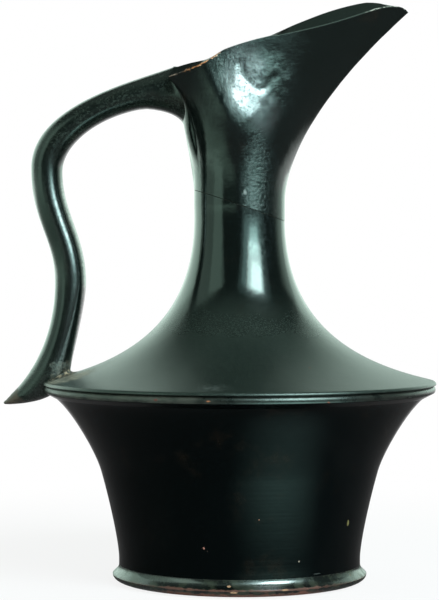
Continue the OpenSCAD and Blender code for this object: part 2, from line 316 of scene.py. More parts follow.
def inset(outline, distance):
    """The outline moved sideways towards the axis."""
    run = np.gradient(outline, axis=0)
    side = np.stack([-run[:, 1], run[:, 0]], 1) / np.linalg.norm(run, axis=1)[:, None]
    return outline + distance * side


def radius_at(outline, height):
    """How far the outline is from the axis at that height."""
    return np.interp(height, outline[:, 1], outline[:, 0])


def lumps(places, size, seed=0.0):
    """Smooth noise from about -1 to 1 at each place, with lumps of that size."""
    return np.array([noise.noise(Vector(p)) for p in places / size + seed])


print("A quarter round:", curve([[1, 0], [1, 0.55], [0.55, 1], [0, 1]], 2).round(2).tolist())

# %% [markdown]
# Every piece of the jug is a stack of rings, joined by bands of four-sided faces. Rings of one
# length keep the faces even, which smooth shading and later dents need.

# %% Ring helpers
def add_piece(name, points, faces):
    """A mesh from points in mm, with doubled points merged and the normals outwards."""
    mesh = bpy.data.meshes.new(name)
    mesh.from_pydata((points * MM).tolist(), [], faces)
    work = bmesh.new()
    work.from_mesh(mesh)
    bmesh.ops.remove_doubles(work, verts=work.verts, dist=1e-7)
    bmesh.ops.recalc_face_normals(work, faces=work.faces)
    work.to_mesh(mesh)
    work.free()
    piece = bpy.data.objects.new(name, mesh)
    bpy.context.scene.collection.objects.link(piece)
    mesh.shade_smooth()
    return piece


def stack(name, rings, join_ends=True):
    """A piece from rings of points. With join_ends the last ring meets the first."""
    rings = np.array(rings, float)
    count, around, _ = rings.shape
    faces = []
    for i in range(count if join_ends else count - 1):
        j = (i + 1) % count
        for k in range(around):
            m = (k + 1) % around
            faces.append((i * around + k, i * around + m, j * around + m, j * around + k))
    if not join_ends:
        faces.append(tuple(range(around))[::-1])
        faces.append(tuple(range((count - 1) * around, count * around)))
    return add_piece(name, rings.reshape(-1, 3), faces)


def turned_rings(outline, around=288):
    """Rings of points round the axis, one for each place on the outline."""
    a = np.linspace(0, 2 * math.pi, around, endpoint=False)
    r, z = outline[:, :1], outline[:, 1:]
    return np.stack([r * np.cos(a), r * np.sin(a), z + 0 * a], 2)


def dent(piece, depth):
    """Moves each point along its normal by depth(places, normals), in mm."""
    mesh = piece.data
    places, normals = np.zeros(len(mesh.vertices) * 3), np.zeros(len(mesh.vertices) * 3)
    mesh.vertices.foreach_get("co", places)
    mesh.vertices.foreach_get("normal", normals)
    places, normals = places.reshape(-1, 3), normals.reshape(-1, 3)
    moved = places + MM * depth(places / MM, normals)[:, None] * normals
    mesh.vertices.foreach_set("co", moved.ravel())
    mesh.update()


def finish_piece(piece, material, slot, *nodes, sharp=40):
    """Gives the piece its finish, and puts it in the place of those CAD parts."""
    piece.data.set_sharp_from_angle(angle=math.radians(sharp))
    piece.data.materials.append(material)
    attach(piece, "root")
    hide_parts(*nodes)
    print(piece.name, "has", len(piece.data.polygons), "faces, for", ", ".join(nodes))

# %% [markdown]
# ## Masks
# Wear isn't spread evenly: a chip sits in one place, specks are scattered, and a scuff is a patch
# of stretched noise. Each is a mask, a number from 0 to 1 over the surface, made from the place in
# mm. A painted image could do the same, but a mask stays sharp at any size and needs no unwrapping.

# %% Mask helpers
def place_mm(w):
    """The place on the object, in mm."""
    return w.node("ShaderNodeTexCoord", out=3) * 1000.0


def spot_at(p, centre, size, ragged=0.5):
    """1 in a ragged spot round that place, and 0 outside. Size is one radius, or three."""
    size = size if isinstance(size, tuple) else (size,) * 3
    away = ((p - centre) * tuple(1 / s for s in size)).maths("LENGTH")
    return 1 - (away + (p.noise(min(size) * 0.8, 3) - 0.5) * ragged * 2).step(0.75, 1.0)


def specks(p, spacing, radius, share, seed=0.0):
    """Scattered specks, in that share of the cells of a grid with that spacing."""
    cells = p.node("ShaderNodeTexVoronoi", {"feature": "F1"}, {
        "Vector": p + (seed, seed * 0.7, seed * 0.3), "Scale": 1 / spacing})
    chance = cells.other(1).part(0)
    size = (cells.other(1).part(1) * 0.7 + 0.3) * radius
    return (1 - (cells * spacing / size).step(0.6, 1.0)) * chance.step(1 - share, 1 - share + 0.01)

# %% [markdown]
# ## Fired gloss
# The gloss is a fine slip that the kiln turned black and glassy. It is thin, so the brush and the
# clay's grain show through it, and it is browner where it ran out. Its shine is a little uneven, as
# hand-brushed gloss is. One function makes it, and each part adds its own wear: a list of masks,
# each with a colour and a roughness that lie over the gloss. Where the gloss was burnished, a coat
# lies over all that: a second, smoother layer with a shine of its own. It is left out elsewhere.

# %% Gloss function
BLACK_GREEN = (0.0018, 0.0030, 0.0028)
BROWN = (0.012, 0.0072, 0.0045)
TERRACOTTA = (0.30, 0.095, 0.04)
CREAM = (0.62, 0.55, 0.42)
GLOSS_TINT = (0.78, 1.0, 0.9, 1)
COAT_ROUGH = 0.16


def fired_gloss(w, p, rough, specular, colour, wear=(), height=None, grain=0.25, mottle=0.05,
                coat=0.0, coat_ior=1.5):
    """A gloss with wear laid over it: (mask, colour, roughness) from the lowest to the topmost."""
    cloud = p.noise(11.0, 4.0, 0.6)
    fine = p.noise(0.55, 3.0, 0.6)
    brown = p.noise(17.0, 5.0, 0.65).step(0.56, 0.76) * 0.6
    colour = brown.mix(colour, BROWN)
    roughness = (cloud - 0.5) * mottle * 2 + (fine - 0.5) * mottle + rough
    for mask, laid, dull in wear:
        colour = mask.mix(colour, laid)
        roughness = roughness * (1 - mask) + mask * dull
    relief = fine * 0.035 + cloud * 0.3
    if height is not None:
        relief = relief + height
    bump = w.node("ShaderNodeBump", {}, {"Strength": grain, "Distance": 0.001, "Height": relief})
    return w.node("ShaderNodeBsdfPrincipled", {}, {
        "Base Color": colour, "Roughness": roughness.clip(), "Specular IOR Level": specular,
        "Specular Tint": GLOSS_TINT, "Normal": bump,
        "Coat Weight": coat, "Coat Roughness": COAT_ROUGH, "Coat IOR": coat_ior})


def scratched(p):
    """Where the neck is scratched lengthwise, up from the highlight to the beak."""
    place = 1 - ((p - (8.0, 0.0, 158.0)) * (0.11, 0.0, 0.028)).maths("LENGTH").step(0.5, 1.25)
    return place * p.noise(1.1, 4, 0.75, 0.5).step(0.44, 0.6)


def done(w, shader):
    """Ends a material's graph."""
    w.node("ShaderNodeOutputMaterial", {}, {"Surface": shader})


print("The gloss is", BLACK_GREEN, "with brown", BROWN)

# %% [markdown]
# ## Foot
# The foot is a turned ring: flat below, a bevel up to a sharp edge, and a hollow curve that meets
# the wall. It could be a lathe modifier on a line, but rings from an outline give the same mesh
# each time, with faces of an even size.

# %% Foot
FOOT_R, FOOT_H, EDGE_H, BEVEL, REST_W = 52.8, 7.0, 3.0, 5.0, 6.0
WAIST_R = 50.15

rest_out = FOOT_R - BEVEL
edge = np.array([FOOT_R, EDGE_H])
foot_outline = np.concatenate([
    np.linspace([rest_out - REST_W, 0], [rest_out, 0], 5)[:-1],
    curve([[rest_out, 0], [FOOT_R - 0.45 * BEVEL, 0], [FOOT_R, 0.4 * EDGE_H], edge], 10),
    curve([edge, edge + [-1.2, 1.3], [WAIST_R, EDGE_H + 2.0], [WAIST_R, FOOT_H]], 14)[1:],
    np.linspace([WAIST_R, FOOT_H], [rest_out - REST_W - 1.6, FOOT_H], 6)[1:],
    np.linspace([rest_out - REST_W - 1.6, FOOT_H], [rest_out - REST_W, 0], 5)[1:-1]])
foot = stack("foot", turned_rings(foot_outline))
print("The foot is", 2 * FOOT_R, "mm across")

# %% [markdown]
# Years of standing and sliding have rubbed the gloss off the sharp edge, most of all at the front,
# where the bare clay shows terracotta with a few cream chips. The front of the hollow shines
# most, so it gets a coat.

# %% Finish of the foot
foot_gloss, w = new_material("foot_gloss")
p = place_mm(w)
z, ragged = p.part(2), p.noise(3.5, 4, 0.6)
front = 1 - (p.part(1) + p.part(0).maths("ABSOLUTE") * 0.4).step(-34, -22)
rubbed = (1 - (z + (ragged - 0.5) * 4.0).step(0.8, 2.2)) * front
edge_line = 1 - ((z - EDGE_H).maths("ABSOLUTE") + (ragged - 0.5) * 2.0).step(0.15, 0.55)
chips = (spot_at(p, (-4.6, -51.2, 4.6), (0.9, 3, 0.45))
         + spot_at(p, (-2.8, -52, 2.4), (1.7, 3, 0.45))
         + spot_at(p, (17.5, -49, 3.0), (1.5, 3, 0.4)))
done(w, fired_gloss(w, p, 0.22, 1.0, BLACK_GREEN, [
    (p.noise(5, 4).step(0.4, 0.65) * 0.8, (0.024, 0.028, 0.014), 0.42),
    (rubbed, (0.19, 0.052, 0.03), 0.85),
    (edge_line * (front * 0.6 + 0.25), (0.13, 0.033, 0.018), 0.7),
    (specks(p, 4, 0.5, 0.1, 3), TERRACOTTA, 0.8),
    (chips.clip(), (0.42, 0.22, 0.11), 0.8)], grain=0.4,
    coat=(1 - p.part(1).step(-48, -25)) * (1 - rubbed), coat_ior=1.8))
finish_piece(foot, foot_gloss, "black_gloss", "foot_ring")

# %% [markdown]
# ## Wall
# The wall of the body rises nearly upright and then flares out to the shoulder. Its inside is the
# outside moved in by the wall's thickness, with a round corner at the floor.

# %% Wall
WALL, FLOOR_T, FLOOR_FILLET = 4.4, 5.0, 9.0
BELLY, BELLY_LEAN, SEAM_LEAN = np.array([57.8, 46.2]), 16.6, 53
RIM_R, BEAD_R, BEAD_OUT, SEAM_H = 81.8, 3.5, 4.9, 76.3
SEAM = np.array([RIM_R - BEAD_OUT, SEAM_H])

wall_out = np.concatenate([
    [[WAIST_R, FOOT_H]],
    curve([[WAIST_R, FOOT_H + 2], [WAIST_R, FOOT_H + 9.5],
           BELLY - polar(9.7, 90 - BELLY_LEAN), BELLY], 24),
    curve([BELLY, BELLY + polar(7.9, 90 - BELLY_LEAN),
           SEAM - polar(8.5, 90 - SEAM_LEAN), SEAM], 24)[1:]])
wall_in = inset(wall_out, WALL)
floor_top = FOOT_H + FLOOR_T
corner = radius_at(wall_in, floor_top + FLOOR_FILLET) - FLOOR_FILLET
turn = np.array([[corner, floor_top + FLOOR_FILLET] + polar(FLOOR_FILLET, a)
                 for a in range(0, -91, -10)])
inside_wall = wall_in[(wall_in[:, 1] > floor_top + FLOOR_FILLET + 0.2)
                      & (wall_in[:, 1] < SEAM_H - 0.2)]
wall_outline = np.concatenate([
    np.linspace([0, FOOT_H], [WAIST_R, FOOT_H], 12)[:-1], wall_out,
    [[radius_at(wall_in, SEAM_H), SEAM_H]], inside_wall[::-1], turn,
    np.linspace([corner, floor_top], [0, floor_top], 10)[1:]])
flared_wall = stack("flared_wall", turned_rings(wall_outline))
print("The wall meets the shoulder at", SEAM)

# %% [markdown]
# The wall is the darkest part: its gloss is matter than the neck's, and it leans over the table,
# which it mirrors only faintly. A low specular level keeps it near black, and scattered specks of
# bare clay and lime keep it from looking empty.

# %% Finish of the wall
wall_gloss, w = new_material("wall_gloss")
p = place_mm(w)
turning = (p * (0.02, 0.02, 1.0)).noise(1.1, 3, 0.6)
done(w, fired_gloss(w, p, 0.16, 0.13, (0.0009, 0.0017, 0.0019), [
    (p.noise(26, 4).step(0.5, 0.8) * 0.35, (0.004, 0.0046, 0.0045), 0.4),
    (specks(p, 6, 0.26, 0.14, 1), (0.10, 0.06, 0.045), 0.8),
    (specks(p, 13, 0.34, 0.12, 8), (0.14, 0.12, 0.09), 0.8),
    (spot_at(p, (43.5, -30.3, 27.1), (0.7, 1.2, 1.4)), (0.13, 0.11, 0.04), 0.8),
    (spot_at(p, (-14.5, -49.3, 19.4), 0.5), (0.40, 0.17, 0.13), 0.8),
    (spot_at(p, (23.2, -44.9, 13.6), 0.4), (0.24, 0.20, 0.15), 0.8),
    (spot_at(p, (7.2, -53.4, 31.1), 0.3), (0.3, 0.14, 0.09), 0.8),
    (spot_at(p, (30.5, -39.8, 8.0), (2.0, 2, 0.25)), (0.035, 0.04, 0.036), 0.7)],
    height=turning * 0.12, grain=0.35))
finish_piece(flared_wall, wall_gloss, "black_gloss", "lower_body")

# %% [markdown]
# ## Shoulder and neck
# The shoulder and the neck were thrown as one sweep, and they are one mesh here: a bead at the
# edge, a nearly flat shoulder, and a long curve up into the neck. The neck ends in an old slanting
# break, so its last rings lean more and more, up to the plane of that break.

# %% Shoulder and neck
SLOPE, SHOULDER_L = 13.6, 32.0
NECK_R, NECK_H, NECK_L, NECK_LEAN = 18.9, 156.0, 49.7, 2.7
BREAK_H, BREAK_TILT = 155.5, 19.0
BEAD = np.array([RIM_R - BEAD_R, SEAM_H + BEAD_R])
TILTED_FROM = 130.0

bead_top = BEAD + polar(BEAD_R, 90 - SLOPE)
neck_top = np.array([NECK_R, NECK_H])
sweep_out = np.concatenate([
    curve([bead_top, bead_top + polar(SHOULDER_L, 180 - SLOPE),
           neck_top - polar(NECK_L, 90 - NECK_LEAN), neck_top], 110),
    [[NECK_R, NECK_H + 30]]])
sweep_in = inset(sweep_out, WALL)
sweep_in[-1, 0] = sweep_in[-2, 0] = NECK_R - WALL
print("The sweep goes from", bead_top.round(1), "to", neck_top)

# %% Leaning rings
def break_height(x, lift=0.0):
    """Height of the old break at that distance from the axis, towards the beak."""
    return BREAK_H + lift - math.tan(math.radians(BREAK_TILT)) * x


def leaning_rings(profile, steps=26, around=288):
    """Rings that lean more and more, from flat ones up to the plane of the break."""
    a = np.linspace(0, 2 * math.pi, around, endpoint=False)
    top = break_height(radius_at(profile, BREAK_H) * np.cos(a))
    rings = []
    for t in np.linspace(0, 1, steps + 1):
        z = TILTED_FROM + (top - TILTED_FROM) * t
        r = radius_at(profile, z)
        rings.append(np.stack([r * np.cos(a), r * np.sin(a), z], 1))
    return np.array(rings)


print("The break runs from", round(break_height(-NECK_R), 1), "to", round(break_height(NECK_R), 1))

# %% [markdown]
# The edge of the shoulder is two small rounds: a thin shoulder edge above and a roll below it, with
# a groove between them. The groove stays dark and draws the line that the real jug shows there; a
# thin line of painted shade in the gloss darkens it further.

# %% Edge of the shoulder
inner_edge = radius_at(wall_in, SEAM_H)
low_out = sweep_out[sweep_out[:, 1] < TILTED_FROM - 0.5]
low_in = sweep_in[(sweep_in[:, 1] < TILTED_FROM - 0.5) & (sweep_in[:, 0] < inner_edge - WALL)
                  & (sweep_in[:, 1] > SEAM_H)]
OUTMOST = RIM_R - 0.03
roll, shoulder_edge = np.array([OUTMOST - 2.3, 79.5]), np.array([OUTMOST - 1.2, 81.7])
bead_arc = np.concatenate([
    np.linspace([SEAM[0] + 0.3, SEAM_H], roll + polar(1.9, -40), 8)[:-1],
    [roll + polar(1.9, a) for a in np.linspace(-40, 55, 24)], [[OUTMOST - 0.8, 81.3]],
    [shoulder_edge + polar(1.1, a) for a in np.linspace(-8, 90 - SLOPE, 12)], [bead_top]])
seam_face = np.linspace([inner_edge, SEAM_H], [SEAM[0] + 0.3, SEAM_H], 5)[:-1]
neck_rings = np.concatenate([
    turned_rings(np.concatenate([seam_face, bead_arc, low_out[1:]])),
    leaning_rings(sweep_out), leaning_rings(sweep_in)[::-1], turned_rings(low_in[::-1])])
shoulder_and_neck = stack("shoulder_and_neck", neck_rings)
print("Shoulder and neck have", len(neck_rings), "rings")

# %% [markdown]
# Up the neck the gloss is nearly a mirror. On the shoulder it turned satin in the kiln, with a fine
# grain, and its colour there is a little lighter and greener: partly its own tone and partly painted
# sheen. One mask by height carries the one finish into the other. Dust has settled by the handle's
# root, and the bead is rubbed brownish grey. Below the bead the wall's dark gloss begins: those
# faces take a second material, which is simpler there than one more mask.

# %% Finish of the shoulder and neck
sweep_gloss, w = new_material("sweep_gloss")
p = place_mm(w)
x, y, z = (p.part(i) for i in range(3))
satin = 1 - (z + (p.noise(12, 3) - 0.5) * 10).step(92, 127)
bead_band = 1 - (z + (p.noise(4, 3) - 0.5) * 0.5).step(81.2, 81.5)
bead_wear = bead_band * p.noise(6, 5, 0.7).step(0.3, 0.6)
# Painted shade: a near-black line along the groove between the shoulder edge and the roll.
painted_groove_shade = 1 - (z - 81.3).maths("ABSOLUTE").step(0.15, 0.4)
left_bead = bead_band * (1 - x.step(-30, 0)) * (1 - y.step(-40, 0))
dust = spot_at(p, (-60, -16, 86), (18, 9, 8), 0.7) * p.noise(1.6, 4, 0.7).step(0.4, 0.8)
scuffed_place = 1 - ((p - (-11, -75, 84)) * (0.11, 0.14, 0.3)).maths("LENGTH").step(0.1, 1.0)
scuff = scuffed_place * (p * (0.35, 0.8, 0.8)).noise(1.0, 5, 0.75).step(0.4, 0.66)
grain = p.noise(0.5, 2, 0.7)
streaks = (p * (0.35, 1.0, 1.0)).noise(0.9, 4, 0.7).step(0.42, 0.56)
crust_place = 1 - ((p - (-70, -19, 85.5)) * (0.085, 0.085, 0.2)).maths("LENGTH").step(0.6, 1.3)
shader = fired_gloss(w, p, 0.105, 0.9, BLACK_GREEN, [
    (scratched(p) * 0.8, (0.005, 0.0075, 0.0085), 0.3),
    # partly painted sheen: the satin's lighter, greener colour
    (satin, (0.0055, 0.0095, 0.0075), 0.33),
    (satin * grain.step(0.5, 0.62) * 0.8, (0.028, 0.040, 0.031), 0.42),
    (bead_band, (0.0025, 0.0035, 0.003), 0.26),
    (bead_wear * (left_bead * 0.75 + 0.15), (0.055, 0.052, 0.040), 0.5),
    # painted shade along the groove above the bead
    (painted_groove_shade * 0.8, (0.001, 0.0015, 0.0013), 0.35),
    (dust * 0.25, (0.22, 0.20, 0.15), 0.8),
    (crust_place * streaks * 0.7, (0.50, 0.45, 0.34), 0.85),
    (scuff * 0.5, (0.14, 0.16, 0.145), 0.6),
    (specks(p, 6, 0.32, 0.10, 2), (0.20, 0.17, 0.12), 0.8),
    (specks(p, 11, 0.5, 0.10, 5), (0.26, 0.09, 0.04), 0.8),
    (spot_at(p, (-36.9, -72.8, 81.0), (0.7, 0.8, 0.35)), (0.36, 0.26, 0.08), 0.7),
    (spot_at(p, (-32.8, -74.9, 79.6), (1.0, 1.2, 0.7)), (0.12, 0.018, 0.012), 0.7),
    (spot_at(p, (-25.5, -77.7, 79.6), 0.35), (0.42, 0.32, 0.08), 0.7),
    (spot_at(p, (-12.7, -80.8, 79.4), (0.9, 1.2, 0.4)), (0.28, 0.09, 0.03), 0.7),
    (spot_at(p, (33.5, -74.1, 78.6), (0.6, 1.2, 0.35)), (0.25, 0.06, 0.03), 0.7)],
    height=satin * grain * 0.25, grain=0.3)
done(w, shader)
finish_piece(shoulder_and_neck, sweep_gloss, "satin_gloss", "shoulder", "neck")

UNDERSIDE_TOP = 78.4
shoulder_and_neck.data.materials.append(wall_gloss)
for face in shoulder_and_neck.data.polygons:
    face.material_index = int(face.center.z < UNDERSIDE_TOP * MM)
print("The bead has the wall's dark gloss below", UNDERSIDE_TOP, "mm")

# %% [markdown]
# ## Mended break
# The neck once broke and was glued. What shows is a hairline that slants round the neck. It could be
# drawn in the gloss, but a thin ring of film that lies a little below the surface gives a real
# groove, which catches the light in its own way at every angle.

# %% Mended break
FILM_IN = 0.25
GAP = 0.24
film_out, film_in = leaning_rings(sweep_out)[-1], leaning_rings(sweep_in)[-1]
film_out = film_out * [1 - FILM_IN / NECK_R, 1 - FILM_IN / NECK_R, 1]
lift = np.array([0, 0, GAP])
mend = stack("mending_film", [film_out, film_in, film_in + lift, film_out + lift])
film, w = new_material("mending_film")
p = place_mm(w)
done(w, fired_gloss(w, p, 0.7, 0.4, (0.03, 0.026, 0.02), [
    (p.noise(2.5, 4).step(0.5, 0.65), (0.10, 0.085, 0.065), 0.8)]))
finish_piece(mend, film, "mending_film", "neck_mend")

# %% [markdown]
# ## Mouth
# The mouth was pinched from the round neck into a long beak. Its wall is a set of rings that turn
# from the neck's circle into the rim's outline, which is seen from above: the tip, the side, a back
# corner, and the flat back that carries the handle. Modelling it by hand from a cylinder would be
# quicker, but then its sizes wouldn't follow the CAD source.

# %% Rim
BEAK_REACH, TIP_H, CREST, BROW = 70.4, 236.2, np.array([57.0, 239.8]), np.array([-7.5, 218.4])
LIP_START, EAR_REACH, EAR_W, EAR_H = np.array([14.6, 225.0]), 29.9, 32.0, 208.1
MOUTH_W, BACK_H, BACK_REACH, SEAT_H, LIP_T, FACE_H = 44.0, 213.2, 27.4, 188.0, 4.0, 4.4
SIDE_X, FACE_X, LIP_ROUND = -14.0, 13.0, 1.5


def rim_plan(s, d=0.0):
    """The rim from above: tip (0), side (1), back corner (2), back (3), drawn in by d."""
    tip, side = np.array([BEAK_REACH - 2 * d, 0]), np.array([SIDE_X, MOUTH_W / 2 - d])
    corner, back = np.array([-EAR_REACH + d, EAR_W / 2 - d]), np.array([-BACK_REACH + 2 * d, 0])
    if s <= 1:
        return curve_at([tip, tip + polar(11 - d, 115), side + [20 - d, 0], side], s)
    if s <= 2:
        return curve_at([side, side - [7, 0], corner + polar(8, 28.8), corner], s - 1)
    return curve_at([corner, corner + polar(4.8, -69.3), back + [0, 5], back], s - 2)


ear = np.array([-EAR_REACH, EAR_H])
tip = np.array([BEAK_REACH, TIP_H])
rim_side = np.concatenate([
    curve([ear, ear + polar(8.2, 12.7), BROW - polar(9.6, 38.7), BROW], 30),
    curve([BROW, BROW + polar(7, 24), LIP_START - polar(7, 12), LIP_START], 30)[1:],
    curve([LIP_START, LIP_START + polar(14, 25), CREST - polar(15, 10), CREST], 50)[1:],
    curve([CREST, CREST + polar(7.5, 2), tip + polar(4.5, 135), tip], 30)[1:]])
lip_side = curve([[-EAR_REACH, BACK_H - 1], [-EAR_REACH + 11, BACK_H + 1.8],
                  BROW - polar(9, 36), BROW], 30)


def rim_height(s):
    """Height of the rim's outer edge."""
    if s <= 2:
        return np.interp(rim_plan(s)[0], rim_side[:, 0], rim_side[:, 1])
    return EAR_H + (BACK_H - EAR_H) * (1 - math.cos(math.pi * min(1, (s - 2) / 0.6))) / 2


def lip_height(s):
    """Height of the rim's inner edge, which stands higher from the brow to the back."""
    x, t = rim_plan(s)[0], min(1, max(0, s - 2) / 0.4)
    if x > BROW[0]:
        return rim_height(s)
    inner = np.interp(x, lip_side[:, 0], lip_side[:, 1]) if s <= 2 else BACK_H - 1 + t
    return max(rim_height(s), inner)


def face_height(s):
    """Height of the sloping face below the rim, along the beak."""
    t = (rim_plan(s)[0] - FACE_X) / (BEAK_REACH - 1 - FACE_X)
    return 0 if s > 1 or t < 0 or t > 1 else FACE_H * math.sin(math.pi * t)


print("The rim rises to", round(max(rim_side[:, 1]), 1), "mm")

# %% [markdown]
# Each place on the mouth's wall lies between a place on the neck's circle and one on the rim. A
# power says how late it leaves the circle: late at the back corner, which keeps the neck round for
# long, and early at the back. Below the ears the back is flattened into a seat for the handle.

# %% Wall of the mouth
FLARE_AT, FLARE_POWER = [0, 1, 1.5, 2, 2.35, 3], [1.69, 2.2, 2.5, 3.4, 2.6, 1.2]
SWELL, SWELL_Z, SWELL_HIGH, SWELL_WIDE = 2.4, 192.0, 14, 0.28


def neck_angle(s):
    """Where the line to the rim's place s starts on the neck's circle."""
    return math.radians(90 * s if s <= 1 else 90 + 62 * (s - 1) if s <= 2 else 152 + 28 * (s - 2))


def seat_x(z):
    """The flat back that the handle sits on."""
    return -BACK_REACH + 0.175 * (BACK_H - z)


def wall_place(s, h, r, d, lift=GAP):
    """A place on the mouth's wall: s round it, h from 0 at the break to 1 at the rim."""
    a = neck_angle(s)
    base = break_height(r * math.cos(a), lift)
    foot = max(NECK_H + 2, base)
    top = rim_height(s) - face_height(s) if d == 0 else lip_height(s) - LIP_ROUND
    z = base + (top - base) * h
    power = np.interp(s, FLARE_AT, FLARE_POWER)
    f = ((z - foot) / (top - foot)) ** power if z > foot else 0
    p = r * np.array([math.cos(a), math.sin(a)]) * (1 - f) + rim_plan(s, d) * f
    t = min(1, max(0, z - foot) / (SEAT_H - foot))
    seat = min(1, max(0, s - 1.75) / 0.95)
    b = t * t * (3 - 2 * t) * seat * seat * (3 - 2 * seat)
    x = p[0] * (1 - b) + (seat_x(z) + 2 * d) * b
    swell = SWELL * math.exp(-((z - SWELL_Z) / SWELL_HIGH) ** 2 - ((s - 1.0) / SWELL_WIDE) ** 2)
    return [x, p[1] + swell, break_height(x, lift) if h == 0 else z]


print("Halfway up the side:", np.round(wall_place(1, 0.5, NECK_R, 0), 1))

# %% [markdown]
# The jug is the same on both sides, so each ring is worked out for one side and mirrored. The rings
# go up the outside, over the lip in two steps, and down the inside.

# %% Rings of the mouth
def mirrored(half):
    """A whole ring from its half on one side."""
    half = np.array(half)
    return np.concatenate([half, (half * [1, -1, 1])[-2:0:-1]])


places_round = np.concatenate([np.linspace(0, 1, 56)[:-1] ** 1.15, np.linspace(1, 2, 26)[:-1],
                               np.linspace(2, 3, 22)])
rises = np.linspace(0, 1, 60)
outer = [mirrored([wall_place(s, h, NECK_R, 0) for s in places_round]) for h in rises]
inner = [mirrored([wall_place(s, h, NECK_R - WALL, LIP_T) for s in places_round])
         for h in rises[::-1]]


def lip_ring(d, drop):
    """A ring on the lip, drawn in by d and lowered by drop."""
    return mirrored([[*rim_plan(s, d), lip_height(s) - drop] for s in places_round])


mouth = stack("mouth", [*outer, lip_ring(0.7 * LIP_T, 0.17), lip_ring(0.9 * LIP_T, 0.5), *inner])
arris_line = np.array([(x, z) for x, _, z in outer[-1] if x > FACE_X - 3])
arris_line = arris_line[np.argsort(arris_line[:, 0])]
print("The mouth has", len(outer) + len(inner) + 2, "rings of", len(outer[0]), "points")

# %% [markdown]
# The potter pinched and beat the beak into shape, so its flanks are full of shallow dents, with two
# short creases where the clay folded. A dent that is seen in the highlight has to be in the mesh:
# each point moves along its normal by cloudy noise.

# %% Dents in the mouth
CREASE = [(0.0, 213.5), (2.1, 206.8), (6.9, 202.4), (11.0, 203.5), (14.4, 208.8)]


def crease_depth(places):
    """0 away from the creases and 1 in them, on the side towards the camera."""
    flat, depth = places[:, [0, 2]], np.zeros(len(places))
    for start, end in zip(CREASE, CREASE[1:]):
        start, run = np.array(start), np.array(end) - start
        t = np.clip(((flat - start) @ run) / (run @ run), 0, 1)[:, None]
        away = np.linalg.norm(flat - start - t * run, axis=1)
        depth = np.maximum(depth, np.exp(-(away / 0.7) ** 2))
    return depth * (places[:, 1] < 0)


def beaten(places, normals):
    """Soft dents all over and hard ones on the flanks, which fade towards the rim."""
    side = np.exp(-((places[:, 0] - 4) / 20) ** 2) * np.exp(-((places[:, 2] - 203) / 17) ** 2)
    outside = (normals[:, 1] * places[:, 1] > 0)
    rise = np.clip((places[:, 2] - 166) / 12, 0, 1)
    soft = 0.16 * lumps(places, 11.0, 3.0) + 0.06 * lumps(places, 4.5, 7.0)
    hard = 0.16 * lumps(places * [1, 1, 0.8], 3.6, 11.0) + 0.07 * lumps(places, 1.9, 5.0)
    rise = rise * np.clip((places[:, 0] + 17) / 9, 0, 1) * np.clip((238 - places[:, 2]) / 6, 0.1, 1)
    return rise * (soft + side * outside * hard) - 0.38 * crease_depth(places) * outside


dent(mouth, beaten)
print("Dented", len(mouth.data.vertices), "points, with a crease of", len(CREASE), "corners")

# %% [markdown]
# The rim is where a jug gets knocked. A shader can't tell how far below the rim it is, because the
# rim rises and falls. So that distance is worked out here for each point of the mesh and kept as an
# attribute, which the material reads. A second one holds the height above the beak's lower arris.

# %% Distances for the wear
mouth_places = np.array([v.co for v in mouth.data.vertices]) / MM
rim_x = np.concatenate([[-BACK_REACH - 8], rim_side[:, 0]])
rim_z = np.concatenate([[EAR_H], rim_side[:, 1]])
from_rim = np.abs(mouth_places[:, 2] - np.interp(mouth_places[:, 0], rim_x, rim_z))
near_rim = np.clip(1 - from_rim / 3.0, 0, 1)
mouth.data.attributes.new("near_rim", "FLOAT", "POINT").data.foreach_set("value", near_rim)
arris_z = np.interp(mouth_places[:, 0], arris_line[:, 0], arris_line[:, 1])
above_arris = mouth_places[:, 2] - arris_z
above_arris[(mouth_places[:, 0] < FACE_X - 2) | (mouth_places[:, 1] > 0)] = -9
mouth.data.attributes.new("above_arris", "FLOAT", "POINT").data.foreach_set("value", above_arris)
print((near_rim > 0).sum(), "points near the rim,", (above_arris > 0).sum(), "above the arris")

# %% [markdown]
# On the back half of the rim the gloss is chipped to orange clay, and the white glints in the chips
# are painted highlights. The near flank of the beak shines most of all, so there a coat with a
# strong shine lies in two overlapping spots, broken up by the grain. Along the beak's lower arris a
# light line and white glints near the tip are painted highlights too.

# %% Finish of the mouth
mouth_gloss, w = new_material("mouth_gloss")
p = place_mm(w)
x, y, z = (p.part(i) for i in range(3))
rim = w.node("ShaderNodeAttribute", {"attribute_name": "near_rim"}, out=2)
above = w.node("ShaderNodeAttribute", {"attribute_name": "above_arris"}, out=2)
ragged = p.noise(1.5, 4, 0.7)
lip_face = above.step(0.0, 0.3)
# Painted highlight: the arris mask lays a light grey-green line along the beak's lower arris, and
# the glints add painted white highlights on it near the tip.
arris = 1 - (above - 0.1).maths("ABSOLUTE").step(0.12, 0.4)
glints = arris * x.step(50, 58) * ragged.step(0.45, 0.6)
back_half = 1 - x.step(-6, 0)
chipped = (rim + (ragged - 0.5) * 1.2).step(0.84, 1.0) * (1 - x.step(-10, -7)) * x.step(-24, -20)
brown_edge = (rim + (ragged - 0.5) * 0.5).step(0.82, 1.0) * back_half
pale_edge = (rim + (ragged - 0.5) * 0.4).step(0.88, 1.0) * (1 - x.step(-27, -25.5))
to_camera_side = 1 - y.step(-6, 0)
beaten_side = 1 - ((p - (4.0, 0.0, 203.0)) * (0.045, 0.0, 0.05)).maths("LENGTH").step(0.6, 1.3)
beaten_side = beaten_side * to_camera_side
brushed = (p * (0.5, 0.5, 0.22)).noise(1.0, 5, 0.75, 0.6)
beaten_grain = p.noise(1.3, 4, 0.75, 0.4)
neck_scratch = scratched(p)
bright = 1 - ((p - (2.0, 0.0, 207.0)) * (0.12, 0.0, 0.065)).maths("LENGTH").step(0.6, 1.3)
